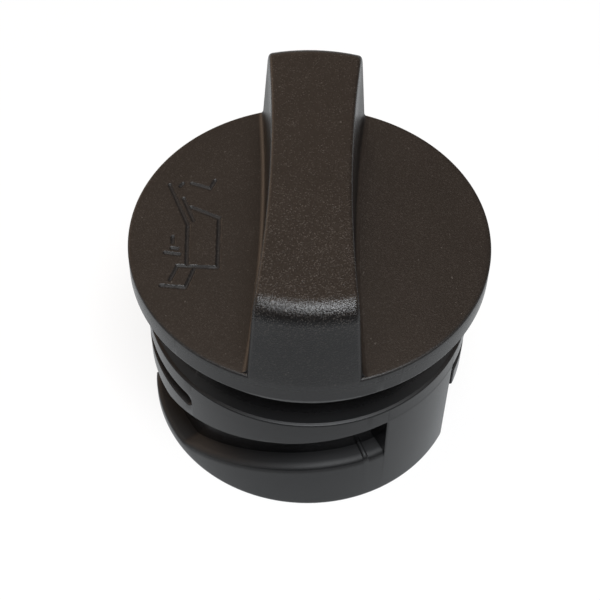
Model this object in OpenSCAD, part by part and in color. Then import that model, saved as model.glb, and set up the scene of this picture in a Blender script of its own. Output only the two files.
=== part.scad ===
// Oil filler cap: a moulded cap with a bar handle, a sealing ring under its disc,
// and a hollow skirt with two bayonet tracks. Millimetres, +Z up, the skirt's rim on z = 0.
// Angles round the cap are counted from the front, -Y, towards +X.

/* [Disc] */
// Diameter of the disc
disc_d = 60; // [58:0.5:80]
// Thickness of the disc at its rim
disc_t = 4.5; // [3.5:0.1:7]
// Rounding of the disc's top edge
disc_edge_r = 0.5; // [0.2:0.1:1]
// Wall left over the hollow inside
roof_t = 2.5; // [1.6:0.1:3]

/* [Handle] */
// Height of the bar handle above the disc
handle_h = 16.5; // [10:0.5:22]
// Width of the handle's top at its waist
handle_waist_w = 13; // [11:0.25:18]
// How much wider than the waist the handle's top is at its ends
handle_flare = 3; // [1:0.25:6]
// Draft of the handle's long sides, in degrees
side_draft = 3.5; // [1:0.5:6]
// Lean of the handle's end faces, in degrees
end_lean = 4.6; // [1:0.2:8]
// Rounding where an end face meets the top
end_round_r = 3.5; // [1:0.25:5]
// Rounding along the top's long edges
side_edge_r = 0.6; // [0.2:0.1:1.5]
// Fillet between the handle's sides and the disc
foot_fillet_r = 1.2; // [0.5:0.1:2]
// Wall of the handle round its core
handle_wall = 2.4; // [1.6:0.1:3]
// Number of cross ribs in the handle's core
core_ribs = 2; // [1:1:3]
// Thickness of a cross rib
core_rib_t = 1.6; // [1:0.1:2.5]

/* [Sealing ring] */
// Section diameter of the sealing ring
seal_section_d = 5.5; // [4:0.1:6.5]
// Diameter of the floor that the ring sits on
seal_floor_d = 44.4; // [42:0.1:46]
// Gap left round the ring in its groove
seal_clearance = 0.05; // [0.02:0.01:0.2]
// How far the lip under the ring stands out from the floor
lip_step = 1.8; // [1:0.1:2.5]
// Wall of the neck behind the ring
neck_wall = 2.2; // [1.6:0.1:3]

/* [Skirt] */
// Outer diameter of the skirt
skirt_d = 55.3; // [53:0.1:58]
// Height of the skirt's straight wall
skirt_h = 24.9; // [23:0.1:32]
// Height of the straight band round the top of that wall
band_h = 2.6; // [2:0.1:3]
// How far the wall under that band draws in towards the rim
wall_draft = 0.2; // [0.1:0.05:0.4]
// Height of the sloping shoulder over it
shoulder_h = 4.8; // [3:0.1:7]
// Rounding of the skirt's upper edge
collar_edge_r = 0.7; // [0.3:0.1:1.2]
// Rounding of the rim at the bottom
rim_edge_r = 0.5; // [0.2:0.1:0.8]
// Wall of the skirt behind the tracks
core_wall = 2.25; // [1.6:0.05:3]

/* [Bayonet tracks] */
// Depth of the tracks in the skirt
track_depth = 3.5; // [2.5:0.1:4]
// Angle of the wall that stops a lug at the tight end
stop_at = 30.3; // [20:0.1:40]
// Angle that a track and its mouth take, from stop to mouth
track_sweep = 145.8; // [130:0.1:150]
// Angle of the mouth where a lug goes in
mouth_sweep = 27.5; // [22:0.5:32]
// Height of the lower flank at the mouth
low_flank_start = 2.8; // [1.8:0.1:4]
// Height of the lower flank at the stop
low_flank_end = 12; // [10:0.1:13]
// Height of the upper flank at the mouth
high_flank_start = 13.5; // [12.5:0.1:15]
// Height of the upper flank at the stop
high_flank_end = 21.2; // [19:0.1:21.4]
// Radius of the detent nib before the stop
nib_r = 0.5; // [0.3:0.1:0.9]
// Width of the relief groove over a track's guide rib
relief_w = 3.2; // [2:0.1:3.4]
// Height of the relief groove's lower edge
relief_at = 17.9; // [17:0.1:18.2]
// Angle of the relief groove's round end
relief_end_at = -43; // [-60:1:-35]
// Angle of the gap between a guide rib's tip and the wall
rib_gap = 3.3; // [2:0.1:6]
// How far the plain walls between the tracks stand proud
pad_step = 0.05; // [0.05:0.05:0.1]

/* [Hidden] */
$fn = 120;

// Facets of a full turn at the handle's large radius
large_fn = 960;
// Angle that a side cutter sweeps, enough to pass the whole disc
cutter_sweep = 24;
// Facets of a small rounding, and flank stations along a track
round_steps = 8;
flank_steps = 60;
// Overrun that lets one cut break through another's face
over = 1;
// Reach of a cut into the core, which fills it again
bite = 0.6;
// How far a rounding passes the face it runs into, so the two cross cleanly
tangent_slip = 0.03;
// How far a plain wall's proud face keeps back from the tracks beside it, in degrees,
// and from the rim's rounding and the band
pad_inset = 0.6;
pad_margin = 0.3;
// How far the mouth's cut reaches up into the slot's
mouth_overlap = 3;
track_count = 2;

disc_r = disc_d / 2;
skirt_r = skirt_d / 2;
wall_r = skirt_r - wall_draft;
core_r = skirt_r - track_depth;
bore_r = core_r - core_wall;
floor_r = seal_floor_d / 2;
neck_bore_r = floor_r - neck_wall;
lip_r = floor_r + lip_step;
groove_h = seal_section_d + 2 * seal_clearance;
seal_r = floor_r + seal_clearance + seal_section_d / 2;

z_band = skirt_h - collar_edge_r - band_h;
z_groove = skirt_h + shoulder_h;
z_under = z_groove + groove_h;
z_top = z_under + disc_t;
z_handle = z_top + handle_h;
z_roof = z_top - roof_t;
z_core_roof = z_handle - roof_t;

// The handle's long sides are arcs of one large circle each
handle_half_l = disc_r - handle_h * tan(end_lean);
flare = handle_flare / 2;
side_r = (pow(handle_half_l, 2) + pow(flare, 2)) / (2 * flare);
side_axis_x = handle_waist_w / 2 + side_r;
foot_spread = handle_h * tan(side_draft);
corner_step = 1 / cos(side_draft) - tan(side_draft);
foot_c = [side_r - foot_spread - foot_fillet_r * corner_step, z_top + foot_fillet_r - tangent_slip];
edge_c = [side_r + side_edge_r * corner_step, z_handle - side_edge_r + tangent_slip];
end_round_c = disc_r - handle_h * tan(end_lean) - end_round_r * (1 / cos(end_lean) - tan(end_lean));
// Slope of the shoulder's face, as the angle of its normal
shoulder_angle = atan2(skirt_r - collar_edge_r - lip_r, shoulder_h);

// Angles along a track, from its stop back to its mouth
mouth_end = stop_at - track_sweep;
mouth_start = mouth_end + mouth_sweep;
low_ramp_from = stop_at - 81;
low_ramp_to = stop_at - 15;
high_ramp_from = stop_at - 88;
lead_in_sweep = 8;
lead_in_drop = 1.8;
nib_at = stop_at - 7;
pad_sweep = 360 / track_count - track_sweep;

function polar(r, a, z) = [r * sin(a), -r * cos(a), z];
function arc(c, r, a0, a1) =
    [for (i = [0:round_steps]) c + r * [cos(a0 + (a1 - a0) * i / round_steps),
                                        sin(a0 + (a1 - a0) * i / round_steps)]];
function clamp01(t) = min(1, max(0, t));
// Runs from 0 to 1, steep at first and level at its end
function ease_out(t, power) = 1 - pow(1 - clamp01(t), power);
function low_flank(a) =
    low_flank_start
    + (low_flank_end - low_flank_start) * ease_out((a - low_ramp_from) / (low_ramp_to - low_ramp_from), 2)
    - lead_in_drop * pow(1 - clamp01((a - mouth_start) / lead_in_sweep), 2);
function high_flank(a) =
    high_flank_start
    + (high_flank_end - high_flank_start) * ease_out((a - high_ramp_from) / (stop_at - high_ramp_from), 1.5);

// A ring segment of rectangular section, from one angle and height to another
module sector(r0, r1, z0, z1, a0, a1)
    rotate([0, 0, a0 - 90])
        rotate_extrude(angle = a1 - a0)
            translate([r0, z0])
                square([r1 - r0, z1 - z0]);

// Everything turned: skirt, shoulder, ring groove and disc
module turned_outline()
    polygon(concat(
        [[0, 0]],
        arc([wall_r - rim_edge_r, rim_edge_r], rim_edge_r, -90, 0),
        [[skirt_r, z_band]],
        arc([skirt_r - collar_edge_r, skirt_h - collar_edge_r], collar_edge_r, 0, shoulder_angle),
        [[lip_r, z_groove], [floor_r, z_groove], [floor_r, z_under], [disc_r, z_under]],
        arc([disc_r - disc_edge_r, z_top - disc_edge_r], disc_edge_r, 0, 90),
        [[0, z_top]]));

// The handle before its sides are cut: flush with the disc's wall, leaning in above it
module handle_outline()
    polygon(concat(
        [[0, z_top - disc_edge_r], [disc_r, z_top - disc_edge_r], [disc_r, z_top]],
        arc([end_round_c, z_handle - end_round_r], end_round_r, end_lean, 90),
        [[0, z_handle]]));

// What is cut away beside the handle. Its lower corner leaves the foot's fillet.
module side_cutter_outline()
    polygon(concat(
        [[side_axis_x - disc_r - over, z_top - disc_edge_r - over],
         [foot_c[0], z_top - disc_edge_r - over]],
        arc(foot_c, foot_fillet_r, -90, -side_draft),
        arc(edge_c, side_edge_r, 180 - side_draft, 90),
        [[edge_c[0], z_handle + over],
         [side_axis_x - disc_r - over, z_handle + over]]));

module side_cutter()
    translate([side_axis_x, 0, 0])
        rotate([0, 0, 180 - cutter_sweep / 2])
            rotate_extrude(angle = cutter_sweep, $fn = large_fn)
                side_cutter_outline();

module handle()
    difference() {
        rotate_extrude()
            handle_outline();
        for (side = [0, 1])
            mirror([side, 0, 0])
                side_cutter();
    }

// One bayonet track's slot, swept between its two flanks from just inside the mouth to the stop
module track_sweep_cutter()
    let (n = flank_steps,
         first = mouth_end + over,
         angles = [for (i = [0:n]) first + (stop_at - first) * i / n],
         r0 = core_r - bite,
         r1 = skirt_r + over)
    polyhedron(
        points = [for (a = angles) each [
            polar(r0, a, low_flank(a)), polar(r1, a, low_flank(a)),
            polar(r1, a, high_flank(a)), polar(r0, a, high_flank(a))]],
        faces = concat(
            [[3, 2, 1, 0]],
            [for (i = [0:n - 1]) for (k = [0:3])
                [4 * i + (k + 1) % 4, 4 * i + 4 + (k + 1) % 4, 4 * i + 4 + k, 4 * i + k]],
            [[4 * n, 4 * n + 1, 4 * n + 2, 4 * n + 3]]),
        convexity = 8);

// The mouth, open to the rim, and the gap past the guide rib's tip
module track_mouth() {
    sector(core_r - bite, skirt_r + over, -over, low_flank_start + mouth_overlap, mouth_end, mouth_start);
    sector(core_r - bite, skirt_r + over, -over, relief_at + relief_w, mouth_end, mouth_end + rib_gap);
}

// The groove over the guide rib, with its round end
module relief_groove()
    let (end_a = relief_end_at - asin(relief_w / 2 / skirt_r)) {
        sector(core_r - bite, skirt_r + over, relief_at, relief_at + relief_w, mouth_end, end_a);
        translate([0, 0, relief_at + relief_w / 2])
            rotate([0, 0, end_a - 90])
                rotate([0, 90, 0])
                    translate([0, 0, core_r - bite])
                        cylinder(r = relief_w / 2 + tangent_slip, h = track_depth + bite + over);
    }

module tracks()
    for (i = [0:track_count - 1])
        rotate([0, 0, 360 / track_count * i]) {
            track_sweep_cutter();
            track_mouth();
            relief_groove();
        }

// A small round nib on the lower flank, just before the stop
module detent_nib()
    translate([0, 0, low_flank(nib_at)])
        rotate([0, 0, nib_at - 90])
            rotate([0, 90, 0])
                translate([0, 0, core_r - bite])
                    cylinder(r = nib_r, h = track_depth + bite - rim_edge_r);

// Radius of the drafted wall at a height
function draft_r(z) = wall_r + wall_draft * (z - rim_edge_r) / (z_band - rim_edge_r);

// The plain wall between two tracks, a little proud of the rest and drafted like it
module pad() {
    low = rim_edge_r + pad_margin;
    high = z_band - pad_margin;
    rotate([0, 0, stop_at + pad_inset - 90])
        rotate_extrude(angle = pad_sweep - 2 * pad_inset)
            polygon([[wall_r - bite, low], [draft_r(low) + pad_step, low],
                     [draft_r(high) + pad_step, high], [wall_r - bite, high]]);
}

// The hollow inside: the skirt's bore, stepping in to the neck's
module bore()
    rotate_extrude()
        polygon([[0, -over], [bore_r + rim_edge_r + over, -over],
                 [bore_r, rim_edge_r], [bore_r, skirt_h - shoulder_h / 2],
                 [neck_bore_r, skirt_h], [neck_bore_r, z_roof], [0, z_roof]]);

// The core inside the handle, open to the hollow below
module handle_core()
    difference() {
        translate([0, 0, z_roof - over])
            cylinder(r = neck_bore_r, h = z_core_roof - z_roof + over);
        for (side = [0, 1])
            mirror([side, 0, 0])
                translate([side_axis_x, 0, 0])
                    rotate([0, 0, 180 - cutter_sweep / 2])
                        rotate_extrude(angle = cutter_sweep, $fn = large_fn)
                            polygon([[side_axis_x - disc_r, z_roof - 2 * over],
                                     [side_r - foot_spread + handle_wall, z_roof - 2 * over],
                                     [side_r - foot_spread + handle_wall, z_top],
                                     [side_r + handle_wall, z_handle],
                                     [side_axis_x - disc_r, z_handle]]);
        for (i = [1:core_ribs])
            translate([-disc_r, neck_bore_r * (2 * i / (core_ribs + 1) - 1) - core_rib_t / 2, z_roof])
                cube([disc_d, core_rib_t, handle_h]);
    }

module cap_moulding()
    color([0.235, 0.196, 0.169])
        difference() {
            union() {
                difference() {
                    rotate_extrude()
                        turned_outline();
                    tracks();
                }
                cylinder(r = core_r, h = skirt_h - collar_edge_r);
                handle();
                for (i = [0:track_count - 1])
                    rotate([0, 0, 360 / track_count * i]) {
                        detent_nib();
                        pad();
                    }
            }
            bore();
            handle_core();
        }

module sealing_ring()
    color([0.04, 0.04, 0.04])
        translate([0, 0, z_groove + groove_h / 2])
            rotate_extrude()
                translate([seal_r, 0])
                    circle(d = seal_section_d, $fn = 48);

cap_moulding();
sealing_ring();
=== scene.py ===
import math

import bmesh
import bpy
from mathutils import Matrix, Vector


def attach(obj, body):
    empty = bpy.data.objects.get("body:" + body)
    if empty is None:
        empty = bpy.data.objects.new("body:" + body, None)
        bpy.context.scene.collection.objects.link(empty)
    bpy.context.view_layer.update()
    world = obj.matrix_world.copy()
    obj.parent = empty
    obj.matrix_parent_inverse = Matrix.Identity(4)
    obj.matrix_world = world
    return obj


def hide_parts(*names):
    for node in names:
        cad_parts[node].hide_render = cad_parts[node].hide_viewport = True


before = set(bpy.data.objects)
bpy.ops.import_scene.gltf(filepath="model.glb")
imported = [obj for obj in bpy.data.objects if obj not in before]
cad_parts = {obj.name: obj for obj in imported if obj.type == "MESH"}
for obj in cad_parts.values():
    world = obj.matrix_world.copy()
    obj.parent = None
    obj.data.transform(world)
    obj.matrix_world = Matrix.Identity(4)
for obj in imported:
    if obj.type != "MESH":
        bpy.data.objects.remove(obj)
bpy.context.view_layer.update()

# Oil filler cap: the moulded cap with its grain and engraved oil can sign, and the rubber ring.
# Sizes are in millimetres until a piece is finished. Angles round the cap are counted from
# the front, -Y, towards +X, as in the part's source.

MM = 0.001
WELD = 0.0015

# Disc
DISC_R = 30.0
DISC_EDGE_R = 0.5
DISC_UNDER_R = 0.3
Z_UNDER = 35.3
Z_TOP = 39.8
Z_ROOF = 37.3

# Handle
HANDLE_H = 16.5
Z_HANDLE = Z_TOP + HANDLE_H
WAIST_W = 13.0
FLARE = 1.5
SIDE_DRAFT = math.tan(math.radians(3.5))
END_LEAN = math.radians(4.6)
END_ROUND_R = 3.5
SIDE_EDGE_R = 0.6
FOOT_R = 1.2
HANDLE_WALL = 2.4
CORE_TOP = Z_HANDLE - 2.5
RIB_T = 1.6
HOLLOW_REACH = 22.0

# Groove, shoulder and skirt
SEAL_R = 25.0
SEAL_SECTION_R = 2.75
Z_SEAL = 32.5
FLOOR_R = 22.2
LIP_R = 24.0
Z_GROOVE = 29.7
SKIRT_R = 27.65
WALL_DRAFT = 0.2
Z_BAND = 21.6
SKIRT_H = 24.9
COLLAR_R = 0.35
COLLAR_LEDGE = 0.55
RIM_R = 0.5
CORE_R = 24.15
BORE_R = 21.9
NECK_R = 20.0
Z_STEP = 22.5

# Bayonet tracks, in degrees and heights
STOP_AT = 30.3
MOUTH_END = -115.5
MOUTH_START = -88.0
PAD_END = MOUTH_END + 180
LOW_FLANK = (2.8, 12.0)
LOW_RISE_FROM = STOP_AT - 81
LOW_RISE_SPAN = 66
LEAD_IN_SPAN = 8
LEAD_IN_DROP = 1.8
HIGH_FLANK = (13.5, 21.2)
HIGH_RISE_SPAN = 88
RIB_TIP = MOUTH_END + 3.3
RELIEF_END = -43.0
RELIEF_LOW = 17.9
RELIEF_W = 3.2
NIB_AT = STOP_AT - 7
NIB_R = 0.5
PAD_STEP = 0.05
PAD_INSET = 0.05
PAD_MARGIN = 0.8
WALL_EDGE = 0.3
FLANK_EDGE = 1.6

# Engraved sign
SIGN_BOX = (-25.2, -13.4, -12.9, 13.5)
SIGN_CELL = 0.13
SIGN_DEPTH = 0.3
SIGN_STROKE = 0.55
SIGN_SLOPE = 0.17


# Shapes

def polar(r, angle, z):
    a = math.radians(angle)
    return Vector((r * math.sin(a), -r * math.cos(a), z))


def mix(a, b, t):
    return a + (b - a) * t


def clamp01(t):
    return min(1.0, max(0.0, t))


def warped_grid(bm, columns, rows, place):
    """A grid whose corner in a column and row is moved to place(column, row)."""
    made = bmesh.ops.create_grid(bm, x_segments=columns - 1, y_segments=rows - 1, size=0.5)["verts"]
    left, low = min(v.co.x for v in made), min(v.co.y for v in made)
    wide, high = max(v.co.x for v in made) - left, max(v.co.y for v in made) - low
    for v in made:
        v.co = place(round((v.co.x - left) / wide * (columns - 1)),
                     round((v.co.y - low) / high * (rows - 1)))
    return made


def eased(corners, steps=3):
    """The outline through (r, z, size) corners, each corner rounded by up to its size."""
    points = []
    for i, (r, z, size) in enumerate(corners):
        at = Vector((r, z))
        if i in (0, len(corners) - 1) or not size:
            points.append(at)
            continue
        before = Vector(corners[i - 1][:2]) - at
        after = Vector(corners[i + 1][:2]) - at
        size = min(size, before.length * 0.45, after.length * 0.45)
        start, end = at + before.normalized() * size, at + after.normalized() * size
        for k in range(steps + 1):
            t = k / steps
            points.append(start * (1 - t) ** 2 + at * 2 * t * (1 - t) + end * t ** 2)
    return points


# The bayonet tracks

def low_flank(a):
    """Height of a track's lower flank: it rises, levels out, and has a nib before the stop."""
    ramp = clamp01((a - LOW_RISE_FROM) / LOW_RISE_SPAN)
    lead_in = 1 - clamp01((a - MOUTH_START) / LEAD_IN_SPAN)
    nib = NIB_R ** 2 - (math.radians(a - NIB_AT) * SKIRT_R) ** 2
    return mix(*LOW_FLANK, 1 - (1 - ramp) ** 2) - LEAD_IN_DROP * lead_in ** 2 + math.sqrt(max(0.0, nib))


def high_flank(a):
    """Height of a track's upper flank, which rises up to the stop."""
    ramp = clamp01((a - (STOP_AT - HIGH_RISE_SPAN)) / HIGH_RISE_SPAN)
    return mix(*HIGH_FLANK, 1 - (1 - ramp) ** 1.5)


def edge_drop(a, *walls):
    """How far a wall draws in where it is rounded towards the upright edges that it ends at."""
    near = min(abs(a - w) for w in walls)
    short = max(0.0, WALL_EDGE - math.radians(near) * SKIRT_R)
    return WALL_EDGE - math.sqrt(WALL_EDGE ** 2 - short ** 2)


def wall_at(z):
    """Radius of the wall at a height: it is drafted in under the straight band."""
    return SKIRT_R - WALL_DRAFT * clamp01(1 - (z - RIM_R) / (Z_BAND - RIM_R))


def relief_heights(a, past_stop):
    """Lower and upper edge of the relief groove: its end is round, and past the stop it is straight."""
    half = RELIEF_W / 2
    if a >= RELIEF_END:
        off = math.radians(a - RELIEF_END) * SKIRT_R + half
    else:
        off = max(0.0, half - math.radians(RELIEF_END - a) * SKIRT_R)
    open_half = math.sqrt(max(0.0, half ** 2 - off ** 2))
    middle = max(RELIEF_LOW + half, high_flank(min(a, STOP_AT)) + 0.2)
    return (mix(middle - open_half, RELIEF_LOW, past_stop),
            mix(middle + open_half, RELIEF_LOW + RELIEF_W, past_stop))


def skirt_corners(a):
    """The skirt's outline at an angle, from the rim up to the collar."""
    in_mouth, in_slot, in_gap, in_relief = a < MOUTH_START, a < STOP_AT, a < RIB_TIP, a < RELIEF_END
    past_stop = clamp01((a - STOP_AT) / (PAD_END - STOP_AT))
    pad = PAD_STEP if STOP_AT + PAD_INSET < a < PAD_END - PAD_INSET else 0.0
    rim_pad = 0.0 if in_mouth else pad

    def wall(z, is_cut, *edges):
        return CORE_R if is_cut else wall_at(z) + pad - edge_drop(a, *edges)

    low = mix(low_flank(min(a, STOP_AT)), low_flank(MOUTH_END), past_stop)
    high = mix(high_flank(min(a, STOP_AT)), high_flank(MOUTH_END), past_stop)
    relief_low, relief_high = relief_heights(a, past_stop)
    at_rim = wall(0, in_mouth, MOUTH_START, PAD_END)
    at_margin = wall(PAD_MARGIN, in_mouth, MOUTH_START, PAD_END)
    return [
        (BORE_R + RIM_R, 0, 0), (at_rim - rim_pad, 0, WALL_EDGE if in_mouth else RIM_R),
        (at_margin - rim_pad, PAD_MARGIN - 0.05, 0), (at_margin, PAD_MARGIN, 0),
        (wall(low, in_mouth, MOUTH_START, PAD_END), low, FLANK_EDGE),
        (wall(low, in_slot, STOP_AT, PAD_END), low, 0),
        (wall(high, in_slot, STOP_AT, PAD_END), high, WALL_EDGE),
        (wall(high, in_gap, RIB_TIP, PAD_END), high, WALL_EDGE),
        (wall(relief_low, in_gap, RIB_TIP, PAD_END), relief_low, WALL_EDGE),
        (wall(relief_low, in_relief, PAD_END), relief_low, WALL_EDGE),
        (wall(relief_high, in_relief, PAD_END), relief_high, WALL_EDGE),
        (wall_at(relief_high) + pad, relief_high, WALL_EDGE),
        (SKIRT_R + pad, Z_BAND, 0), (SKIRT_R, Z_BAND + 0.25, 0)]


# From the collar's ledge over the shoulder, the ring's groove and the disc's edge
UPPER_CORNERS = [
    (SKIRT_R, SKIRT_H - 0.1, COLLAR_R), (SKIRT_R - COLLAR_LEDGE, SKIRT_H + 0.05, 0.05),
    (LIP_R, Z_GROOVE, 0.25), (FLOOR_R, Z_GROOVE, 0.2), (FLOOR_R, Z_UNDER, 0.3),
    (DISC_R, Z_UNDER, DISC_UNDER_R), (DISC_R, Z_TOP, DISC_EDGE_R),
    (DISC_R - 2 * DISC_EDGE_R, Z_TOP, 0)]


def track_angles():
    """Angles of one half turn's outlines: every degree, and close together where the tracks need it."""
    close = 1e-5
    soft = (0.1, 0.22, 0.38, 0.62)
    angles = [MOUTH_END + close, PAD_END - close]
    angles += [MOUTH_END + i for i in range(1, 180)]
    for wall in (MOUTH_START, RIB_TIP, STOP_AT):
        angles += [wall - close, wall + close] + [wall + s for s in soft]
    angles += [PAD_END - s for s in soft]
    for edge in (STOP_AT + PAD_INSET, PAD_END - PAD_INSET):
        angles += [edge - 0.03, edge + 0.03]
    sweep = math.degrees(RELIEF_W / 2 / SKIRT_R)
    angles += [RELIEF_END - sweep * (1 - math.sin(math.radians(9 * i))) for i in range(10)]
    angles += [RELIEF_END - close, RELIEF_END + close]
    sweep = math.degrees(NIB_R / SKIRT_R)
    angles += [NIB_AT + sweep * math.sin(math.radians(15 * i)) for i in range(-6, 7)]
    return sorted(angles)


def set_round(bm, outline_at):
    """A skin through the outlines that outline_at(angle) gives for one half turn, used twice."""
    angles = track_angles()
    outlines = [eased(outline_at(a)) for a in angles]
    turns = [(a + turn, line) for turn in (0, 180) for a, line in zip(angles, outlines)]
    turns.append((turns[0][0] + 360, turns[0][1]))
    warped_grid(bm, len(turns), len(outlines[0]),
                lambda i, j: polar(turns[i][1][j].x, turns[i][0], turns[i][1][j].y))
    bmesh.ops.remove_doubles(bm, verts=bm.verts, dist=WELD)


# The engraved sign: an oil can with a handle, a spout and a drop

def sign_strokes():
    """Straight strokes of the sign, as pairs of points on the disc."""
    body = [((-20.2, 1.4), (-19.8, -6.6)), ((-15.1, 3.3), (-14.7, -7.2)),
            ((-21.3, -7.1), (-14.7, -7.2))]
    grip = [((-21.3, -7.3), (-22.2, -10.0)), ((-18.4, -7.3), (-19.6, -11.5)),
            ((-23.6, -11.3), (-19.6, -11.6))]
    spout = [((-23.9, 10.5), (-20.2, 1.8)), ((-21.3, 7.5), (-19.3, 2.7)),
             ((-19.9, 5.6), (-15.1, 3.4))]
    drop = [((-20.2, 11.0), (-17.0, 9.9)), ((-17.0, 9.9), (-16.3, 11.8)),
            ((-22.1, 10.3), (-21.7, 10.9))]
    lid = [((-23.5, -4.4), (-21.1, -4.7)), ((-22.5, -1.0), (-22.4, -2.2)),
           ((-22.5, -3.4), (-21.5, -3.5))]
    return body + grip + spout + drop + lid


def off_stroke(p, start, end):
    along = end - start
    t = clamp01((p - start).dot(along) / along.length_squared)
    return (p - start - along * t).length


def sign_plate(bm):
    """The part of the disc's top that carries the sign, pressed in along its strokes."""
    left, right, front, back = SIGN_BOX
    columns = round((right - left) / SIGN_CELL)
    rows = round((back - front) / SIGN_CELL)
    strokes = [(Vector(a), Vector(b)) for a, b in sign_strokes()]

    def place(i, j):
        p = Vector((mix(left, right, i / (columns - 1)), mix(front, back, j / (rows - 1))))
        off = min(off_stroke(p, a, b) for a, b in strokes) - SIGN_STROKE / 2
        t = clamp01(0.5 - off / (2 * SIGN_SLOPE))
        return Vector((p.x, p.y, Z_TOP - SIGN_DEPTH * t * t * (3 - 2 * t)))

    warped_grid(bm, columns, rows, place)


def disc_top(bm):
    """The flat of the disc, from its rim to the sign's plate and to a line inside the handle's wall."""
    def place(i, j):
        y = mix(-HOLLOW_REACH, HOLLOW_REACH, j / 12)
        return Vector(((2 * i - 1) * (side_x(y, Z_TOP) - HANDLE_WALL / 2), y, Z_TOP))

    edges = {e for v in warped_grid(bm, 2, 13, place) for e in v.link_edges}
    bmesh.ops.delete(bm, geom=[e for e in edges if not e.is_boundary], context="EDGES_FACES")
    borders = [e for e in bm.edges if len(e.link_faces) < 2 and all(v.co.z > Z_TOP - 0.001 for v in e.verts)]
    bmesh.ops.triangle_fill(bm, use_beauty=True, edges=borders)


# The handle

TOP_STEPS = 5
ROUND_STEPS = 5
SIDE_STEPS = 5
FOOT_STEPS = 7
FOOT_SINK = 0.03


def side_x(y, z):
    """Half the handle's width: two long waisted arcs, drafted wider towards the disc."""
    half_length = DISC_R - HANDLE_H * math.tan(END_LEAN)
    arc_r = (half_length ** 2 + FLARE ** 2) / (2 * FLARE)
    return WAIST_W / 2 + arc_r - math.sqrt(arc_r ** 2 - y ** 2) + (Z_HANDLE - z) * SIDE_DRAFT


def handle_stations():
    """From the middle to an end: reach, height, normal and whether it is flat, along the outline."""
    corner = DISC_R - HANDLE_H * math.tan(END_LEAN)
    centre = corner - END_ROUND_R * (1 / math.cos(END_LEAN) - math.tan(END_LEAN))
    made = [(2.0 * i, Z_HANDLE, Vector((0, 1)), True) for i in range(11)]
    for i in range(15):
        a = mix(math.pi / 2, END_LEAN, i / 14)
        n = Vector((math.cos(a), math.sin(a)))
        made.append((centre + END_ROUND_R * n.x, Z_HANDLE - END_ROUND_R + END_ROUND_R * n.y, n, False))
    reach, height = made[-1][0], made[-1][1]
    lean = Vector((math.cos(END_LEAN), math.sin(END_LEAN)))
    for i in range(1, 9):
        made.append((mix(reach, DISC_R, i / 8), mix(height, Z_TOP, i / 8), lean, False))
    made.append((DISC_R, Z_TOP - DISC_EDGE_R, Vector((1, 0)), False))
    return made


def across(station, end, step):
    """The handle's outline at one station, from its left foot over the top to its right foot."""
    reach, height, normal, flat = station
    side = 1 if step >= 0 else -1
    step = abs(step)

    def along(x, line):
        return line if flat else math.sqrt(max(0.0, line ** 2 - x ** 2))

    def at(x, out):
        return Vector((side * x, end * along(x, reach - normal.x * out), height - normal.y * out))

    line, low = reach - normal.x * SIDE_EDGE_R, height - normal.y * SIDE_EDGE_R
    y = line
    for _ in range(3):
        x = side_x(y, low)
        y = along(x, line)
    edge = x - SIDE_EDGE_R
    if step <= TOP_STEPS:
        return at(edge * step / TOP_STEPS, 0)
    if step <= TOP_STEPS + ROUND_STEPS:
        turn = (step - TOP_STEPS) / ROUND_STEPS * math.pi / 2
        return at(edge + SIDE_EDGE_R * math.sin(turn), SIDE_EDGE_R * (1 - math.cos(turn)))
    foot_r = min(FOOT_R, max(0.03, low - Z_TOP))
    step -= TOP_STEPS + ROUND_STEPS
    if step <= SIDE_STEPS:
        z = low
        if low > Z_TOP + foot_r:
            z = mix(low, Z_TOP + foot_r * (1 - SIDE_DRAFT), step / SIDE_STEPS)
        return Vector((side * side_x(y, z), end * y, z))
    turn = (step - SIDE_STEPS) / FOOT_STEPS * math.pi / 2
    x = side_x(y, Z_TOP + foot_r) + foot_r * (1 - math.cos(turn))
    return Vector((side * x, end * y, min(Z_TOP - FOOT_SINK + foot_r * (1 - math.sin(turn)), low)))


def handle(bm):
    """The handle's skin, joined to the disc's flat by a hidden strip round its foot."""
    stations = handle_stations()
    rows = [(s, -1) for s in reversed(stations[1:])] + [(s, 1) for s in stations]
    reach = TOP_STEPS + ROUND_STEPS + SIDE_STEPS + FOOT_STEPS
    made = warped_grid(bm, 2 * reach + 1, len(rows), lambda i, j: across(*rows[j], i - reach))
    bmesh.ops.remove_doubles(bm, verts=made, dist=WELD)
    bmesh.ops.bridge_loops(bm, edges=[e for e in bm.edges if e.is_boundary])


# The inside

def pocket(bm, front, back):
    """One hollow of the handle, between two cross ribs or a rib and the end."""
    wide, long = 6, 10
    reach = NECK_R - 0.1

    def place(i, j):
        y = mix(front, back, j / (long - 1))
        x = (2 * i / (wide - 1) - 1) * (side_x(y, Z_TOP) - HANDLE_WALL)
        if abs(y) > NECK_R - 1:
            y = math.copysign(math.sqrt(reach ** 2 - x ** 2), y)
        return Vector((x, y, Z_ROOF))

    made = warped_grid(bm, wide, long, place)
    faces = list({f for v in made for f in v.link_faces})
    top = bmesh.ops.extrude_face_region(bm, geom=faces)["geom"]
    for v in (g for g in top if isinstance(g, bmesh.types.BMVert)):
        v.co.x *= (side_x(v.co.y, CORE_TOP) - HANDLE_WALL) / (side_x(v.co.y, Z_TOP) - HANDLE_WALL)
        v.co.z = CORE_TOP
    bmesh.ops.delete(bm, geom=[f for f in faces if f.is_valid], context="FACES_ONLY")


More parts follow.
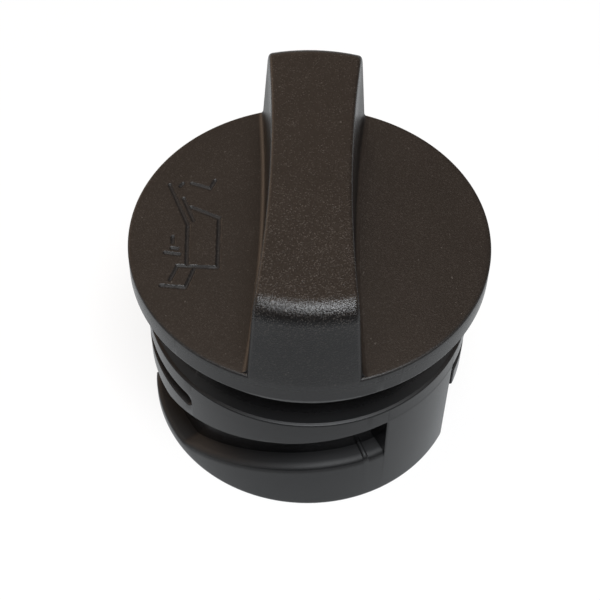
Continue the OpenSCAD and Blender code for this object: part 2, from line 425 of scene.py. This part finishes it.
def inside(bm):
    """The bore, the neck's bore and the roof with the handle's three hollows."""
    set_round(bm, lambda a: [(BORE_R + RIM_R, 0, 0), (BORE_R, RIM_R, 0.2), (BORE_R, Z_STEP, 0.6),
                             (NECK_R, SKIRT_H, 0.6), (NECK_R, Z_ROOF, 0)])
    inner, outer = NECK_R / 3 - RIB_T / 2, NECK_R / 3 + RIB_T / 2
    for front, back in ((-NECK_R, -outer), (-inner, inner), (outer, NECK_R)):
        pocket(bm, front, back)
    rims = [e for e in bm.edges if e.is_boundary and all(abs(v.co.z - Z_ROOF) < 1e-4 for v in e.verts)]
    bmesh.ops.triangle_fill(bm, use_beauty=True, edges=rims)


# Finishing a piece

def finish_piece(bm, name, node, material):
    """Makes the mesh an object in metres that stands for its CAD node."""
    for f in bm.faces:
        f.smooth = True
    bm.normal_update()
    for e in bm.edges:
        e.smooth = len(e.link_faces) == 2 and e.calc_face_angle(0) < math.radians(40)
    bmesh.ops.scale(bm, vec=(MM, MM, MM), verts=bm.verts)
    mesh = bpy.data.meshes.new(name)
    bm.to_mesh(mesh)
    bm.free()
    mesh.materials.append(material)
    piece = bpy.data.objects.new(name, mesh)
    bpy.context.scene.collection.objects.link(piece)
    even = piece.modifiers.new("even_normals", "WEIGHTED_NORMAL")
    even.keep_sharp = True
    even.weight = 80
    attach(piece, "root")
    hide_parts(node)
    return piece


def moulded_cap(material):
    bm = bmesh.new()
    set_round(bm, lambda a: skirt_corners(a) + UPPER_CORNERS)
    sign_plate(bm)
    disc_top(bm)
    inside(bm)
    bmesh.ops.remove_doubles(bm, verts=bm.verts, dist=WELD)
    handle(bm)
    bmesh.ops.recalc_face_normals(bm, faces=bm.faces)
    return finish_piece(bm, "moulded_cap", "cap_moulding", material)


def rubber_ring(material):
    bm = bmesh.new()
    upright = Matrix.Translation((0, -SEAL_R, Z_SEAL)) @ Matrix.Rotation(math.pi / 2, 4, "Y")
    made = bmesh.ops.create_circle(bm, segments=48, radius=SEAL_SECTION_R, matrix=upright)
    edges = list({e for v in made["verts"] for e in v.link_edges})
    bmesh.ops.spin(bm, geom=made["verts"] + edges, cent=(0, 0, 0), axis=(0, 0, 1), angle=math.tau,
                   steps=240, use_merge=True)
    bmesh.ops.recalc_face_normals(bm, faces=bm.faces)
    return finish_piece(bm, "rubber_ring", "sealing_ring", material)


# Materials

class Value:
    """A socket that can be used in sums, which add Math nodes."""

    def __init__(self, finish, socket):
        self.finish, self.socket = finish, socket

    def sum(self, operation, first, second):
        return self.finish.node("ShaderNodeMath", {"operation": operation}, {0: first, 1: second})

    def __add__(self, other):
        return self.sum("ADD", self, other)

    def __sub__(self, other):
        return self.sum("SUBTRACT", self, other)

    def __rsub__(self, other):
        return self.sum("SUBTRACT", other, self)

    def __mul__(self, other):
        return self.sum("MULTIPLY", self, other)

    __radd__ = __add__
    __rmul__ = __mul__


class Finish:
    """One material and its nodes."""

    def __init__(self, name):
        self.material = bpy.data.materials.new(name)
        self.material.use_nodes = True
        self.tree = self.material.node_tree
        self.tree.nodes.clear()

    @classmethod
    def on(cls, tree):
        """The same way of making nodes, on a tree that is there already."""
        made = cls.__new__(cls)
        made.tree = tree
        tree.nodes.clear()
        return made

    def node(self, kind, settings=None, sockets=None, out=0):
        """A new node with its settings and inputs, as a Value of its output."""
        made = self.tree.nodes.new(kind)
        for key, value in (settings or {}).items():
            setattr(made, key, value)
        for key, value in (sockets or {}).items():
            if isinstance(value, Value):
                self.tree.links.new(value.socket, made.inputs[key])
            else:
                made.inputs[key].default_value = value
        return Value(self, made.outputs[out]) if made.outputs else made

    def place_mm(self):
        """The place on the piece, in millimetres."""
        spot = self.node("ShaderNodeTexCoord", out="Object")
        return self.node("ShaderNodeVectorMath", {"operation": "SCALE"}, {0: spot, "Scale": 1 / MM})

    def part(self, vector, axis):
        return self.node("ShaderNodeSeparateXYZ", {}, {0: vector}, out=axis)

    def noise(self, spot, scale, detail=3.0, roughness=0.55):
        return self.node("ShaderNodeTexNoise", {}, {"Vector": spot, "Scale": scale, "Detail": detail,
                                                    "Roughness": roughness})

    def fade(self, value, start, end):
        """0 at start and 1 at end, level before and after."""
        low, high, from_value, to_value = (start, end, 0.0, 1.0) if start < end else (end, start, 1.0, 0.0)
        return self.node("ShaderNodeMapRange", {"interpolation_type": "SMOOTHSTEP"},
                         {0: value, 1: low, 2: high, 3: from_value, 4: to_value})

    def blend(self, share, first, second):
        return self.node("ShaderNodeMix", {"data_type": "RGBA"}, {0: share, 6: first, 7: second}, out=2)

    def surface(self, shader):
        self.node("ShaderNodeOutputMaterial", {}, {"Surface": shader})
        return self.material


# The warm black is the plain black with painted warm light, for upward-facing tops; the plain black is the
# moulding's own colour.
LIT_TOP_WARM_BLACK = (0.0065, 0.005, 0.0042, 1)
PLAIN_BLACK = (0.0045, 0.0045, 0.005, 1)
GRAIN_LIGHT = (0.10, 0.09, 0.08, 1)
PALE_SPECK = (0.11, 0.10, 0.09, 1)

# Heights over the rim, in mm, between which a finish comes in
TOP_FROM = (36.0, 41.0)
HANDLE_FROM = (48.0, 55.0)
FRONT_FROM = (6.0, -22.0)
FLANKS_BELOW = (20.5, 19.5)
SHOULDER_ABOVE = (21.0, 22.0)
SHOULDER_BELOW = (27.6, 25.2)
SIGN_ABOVE = (39.4, 39.5)
SIGN_BELOW = (39.79, 39.7)

# Noise, in waves per mm
GRAIN = 3.6
FINE_GRAIN = 7.0
CLOUDS = 0.12
SPECKS = 1.7
BUMP_M = 0.0001


def moulding_finish():
    """Black moulding with painted warm light on its upward-facing tops, and eroded grain, strongest on the
    handle and fading down the skirt.
    """
    finish = Finish("black_moulding")
    spot = finish.place_mm()
    height = finish.part(spot, "Z")
    facing = finish.node("ShaderNodeNewGeometry", out="Normal")
    upward = finish.fade(finish.part(facing, "Z"), 0.25, 0.8)
    on_top = finish.fade(height, *TOP_FROM)
    on_handle = finish.fade(height, *HANDLE_FROM)
    worn_end = on_handle * finish.fade(finish.part(spot, "Y"), *FRONT_FROM)
    on_flank = upward * finish.fade(height, *FLANKS_BELOW)
    on_shoulder = upward * finish.fade(height, *SHOULDER_BELOW) * finish.fade(height, *SHOULDER_ABOVE)
    in_sign = upward * finish.fade(height, *SIGN_BELOW) * finish.fade(height, *SIGN_ABOVE)

    grain = finish.noise(spot, GRAIN, 3.0, 0.6)
    fine = finish.noise(spot, FINE_GRAIN, 2.0, 0.5)
    cloud = finish.noise(spot, CLOUDS, 3.0, 0.6)
    specks = finish.fade(finish.noise(spot, SPECKS, 1.0, 0.4), 0.77, 0.79)

    # Painted light: upward-facing faces of the disc and handle tops are made warmer and lighter, standing in
    # for warm light from above.
    base = finish.blend(upward * on_top, PLAIN_BLACK, LIT_TOP_WARM_BLACK)
    base = finish.blend(finish.fade(grain, 0.51, 0.7) * (0.18 * on_top + 0.2 * worn_end), base, GRAIN_LIGHT)
    shade = finish.blend(finish.fade(cloud, 0.35, 0.7), (0.88, 0.88, 0.88, 1), (1.12, 1.12, 1.12, 1))
    base = finish.node("ShaderNodeVectorMath", {"operation": "MULTIPLY"}, {0: base, 1: shade})
    base = finish.blend(specks * on_top * 0.4, base, PALE_SPECK)

    roughness = 0.15 + 0.16 * on_top - 0.1 * on_handle + 0.1 * grain
    roughness = roughness + 0.4 * on_flank + 0.3 * on_shoulder + 0.3 * in_sign
    relief = grain * (0.1 + 0.4 * on_top + 0.4 * on_handle + 0.1 * worn_end) + fine * (0.03 + 0.2 * on_top)
    bump = finish.node("ShaderNodeBump", {}, {"Strength": 1.0, "Distance": BUMP_M, "Height": relief})
    return finish.surface(finish.node("ShaderNodeBsdfPrincipled", {}, {
        "Base Color": base, "Roughness": roughness, "Specular IOR Level": 0.4, "Normal": bump}))


def rubber_finish():
    """Smooth black rubber with an oily sheen."""
    finish = Finish("black_rubber")
    spot = finish.place_mm()
    cloud = finish.noise(spot, 0.35, 3.0, 0.6)
    fine = finish.noise(spot, 5.0, 2.0, 0.5)
    bump = finish.node("ShaderNodeBump", {}, {"Strength": 1.0, "Distance": BUMP_M / 10, "Height": fine})
    base = finish.blend(cloud, (0.008, 0.008, 0.009, 1), (0.02, 0.02, 0.021, 1))
    return finish.surface(finish.node("ShaderNodeBsdfPrincipled", {}, {
        "Base Color": base, "Roughness": 0.14 + 0.16 * cloud, "Specular IOR Level": 0.5, "Normal": bump}))


FLOOR_COLOUR = (0.82, 0.82, 0.82, 1)
FLOOR_GLOW = 0.85
# How strongly the floor glows in mirrors, near the cap and far off, and its cool tint there: painted
# reflected light on the cap's walls and edges.
FLOOR_MIRRORED = (0.60, 0.08)
MIRRORED_FADE = (120, 260)
MIRRORED_TINT = (0.93, 0.97, 1.0, 1)


def floor_finish():
    """A pale floor that the camera sees near white, with the cap's shadow kept; in mirrors it glows as
    painted reflected light, stronger near the cap than far off and cool-tinted.
    """
    finish = Finish("pale_floor")
    path = finish.tree.nodes.new("ShaderNodeLightPath")
    camera, clear, mirror = (Value(finish, path.outputs[ray]) for ray in (
        "Is Camera Ray", "Is Transmission Ray", "Is Glossy Ray"))
    away = finish.node("ShaderNodeVectorMath", {"operation": "LENGTH"}, {0: finish.place_mm()}, out="Value")
    near, far = FLOOR_MIRRORED
    mirrored = near + (far - near) * finish.fade(away, *MIRRORED_FADE)
    strength = camera + clear + mirror * mirrored
    share = FLOOR_GLOW * (camera + clear + mirror)
    plain = finish.node("ShaderNodeBsdfDiffuse", {}, {"Color": FLOOR_COLOUR})
    glow = finish.node("ShaderNodeEmission", {}, {
        "Color": finish.blend(mirror, (1, 1, 1, 1), MIRRORED_TINT), "Strength": strength})
    return finish.surface(finish.node("ShaderNodeMixShader", {}, {0: share, 1: plain, 2: glow}))


# Stage

ROOM_LEFT = (0.66, 0.49, 0.37, 1)
ROOM_RIGHT = (0.36, 0.27, 0.21, 1)
ROOM_FRONT = (0.035, 0.035, 0.035, 1)


def room_light():
    """A soft room: warm light from behind the cap, less from the right and least from the front."""
    world = bpy.data.worlds.new("room")
    world.use_nodes = True
    light = Finish.on(world.node_tree)
    toward = light.node("ShaderNodeTexCoord", out="Generated")
    back = light.fade(light.part(toward, "Y"), -0.6, 0.5)
    right = light.fade(light.part(toward, "X"), -0.3, 0.3)
    warm = light.blend(right, ROOM_LEFT, ROOM_RIGHT)
    glow = light.node("ShaderNodeBackground", {}, {"Color": light.blend(back, ROOM_FRONT, warm)})
    light.node("ShaderNodeOutputWorld", {}, {"Surface": glow})
    return world


def stage():
    bm = bmesh.new()
    bmesh.ops.create_circle(bm, cap_ends=True, segments=96, radius=3.0)
    mesh = bpy.data.meshes.new("floor")
    bm.to_mesh(mesh)
    bm.free()
    mesh.materials.append(floor_finish())
    floor = bpy.data.objects.new("floor", mesh)
    bpy.context.scene.collection.objects.link(floor)
    bpy.context.scene.world = room_light()


def lamp(name, at, size, watts, colour=(1, 1, 1)):
    """A square soft lamp that looks at the middle of the cap. Its place and size are in metres."""
    aim = Vector((0, 0, 0.03))
    data = bpy.data.lights.new(name, "AREA")
    data.shape, data.size, data.energy, data.color = "SQUARE", size, watts, colour
    made = bpy.data.objects.new(name, data)
    made.location = Vector(at)
    made.rotation_mode = "QUATERNION"
    made.rotation_quaternion = (aim - made.location).to_track_quat("-Z", "Y")
    bpy.context.scene.collection.objects.link(made)


# Camera: the photo's angle, from the outlines of the disc, collar, rim and handle
CAMERA_AWAY = 8.59 * DISC_R
CAMERA_HEIGHT_ANGLE = 49.68
CAMERA_ROLL = -1.57
CAMERA_TURN = -1.35
CAMERA_TILT = 3.47
CAMERA_SIDE_STEP = 0.29
CAMERA_FOCUS_PX = 1556.6
CAMERA_SHIFT = 0.05
PHOTO_PX = 600


def camera():
    rise = math.radians(CAMERA_HEIGHT_ANGLE)
    back = Vector((0, -math.cos(rise), math.sin(rise)))
    right = Vector((1, 0, 0))
    axes = Matrix((right, back.cross(right), back))
    turned = (Matrix.Rotation(math.radians(CAMERA_ROLL), 3, "Z")
              @ Matrix.Rotation(math.radians(CAMERA_TILT), 3, "X")
              @ Matrix.Rotation(math.radians(CAMERA_TURN), 3, "Y") @ axes)
    step = Matrix.Rotation(math.radians(CAMERA_SIDE_STEP), 3, "Z")
    data = bpy.data.cameras.new("camera")
    data.sensor_width = 36.0
    data.lens = CAMERA_FOCUS_PX / PHOTO_PX * data.sensor_width
    data.shift_x = data.shift_y = CAMERA_SHIFT
    data.clip_start, data.clip_end = 0.01, 20
    made = bpy.data.objects.new("camera", data)
    spot = (step @ back) * CAMERA_AWAY + Vector((0, 0, Z_TOP))
    made.matrix_world = Matrix.Translation(spot * MM) @ (step @ turned.transposed()).to_4x4()
    bpy.context.scene.collection.objects.link(made)
    bpy.context.scene.camera = made


camera()
moulded_cap(moulding_finish())
rubber_ring(rubber_finish())
stage()
lamp("overhead", (0.10, -0.32, 0.80), 0.30, 9.0, (0.94, 0.97, 1.0))
lamp("ceiling", (0.0, 0.30, 0.85), 0.30, 0.6, (1.0, 0.80, 0.65))
lamp("warm_wall", (-0.75, 0.65, 0.25), 0.5, 1.2, (1.0, 0.72, 0.52))
lamp("left", (-0.7, -0.25, 0.35), 0.4, 0.8)
lamp("right", (0.7, -0.15, 0.30), 0.4, 0.35)
bpy.context.scene.view_settings.view_transform = "Standard"
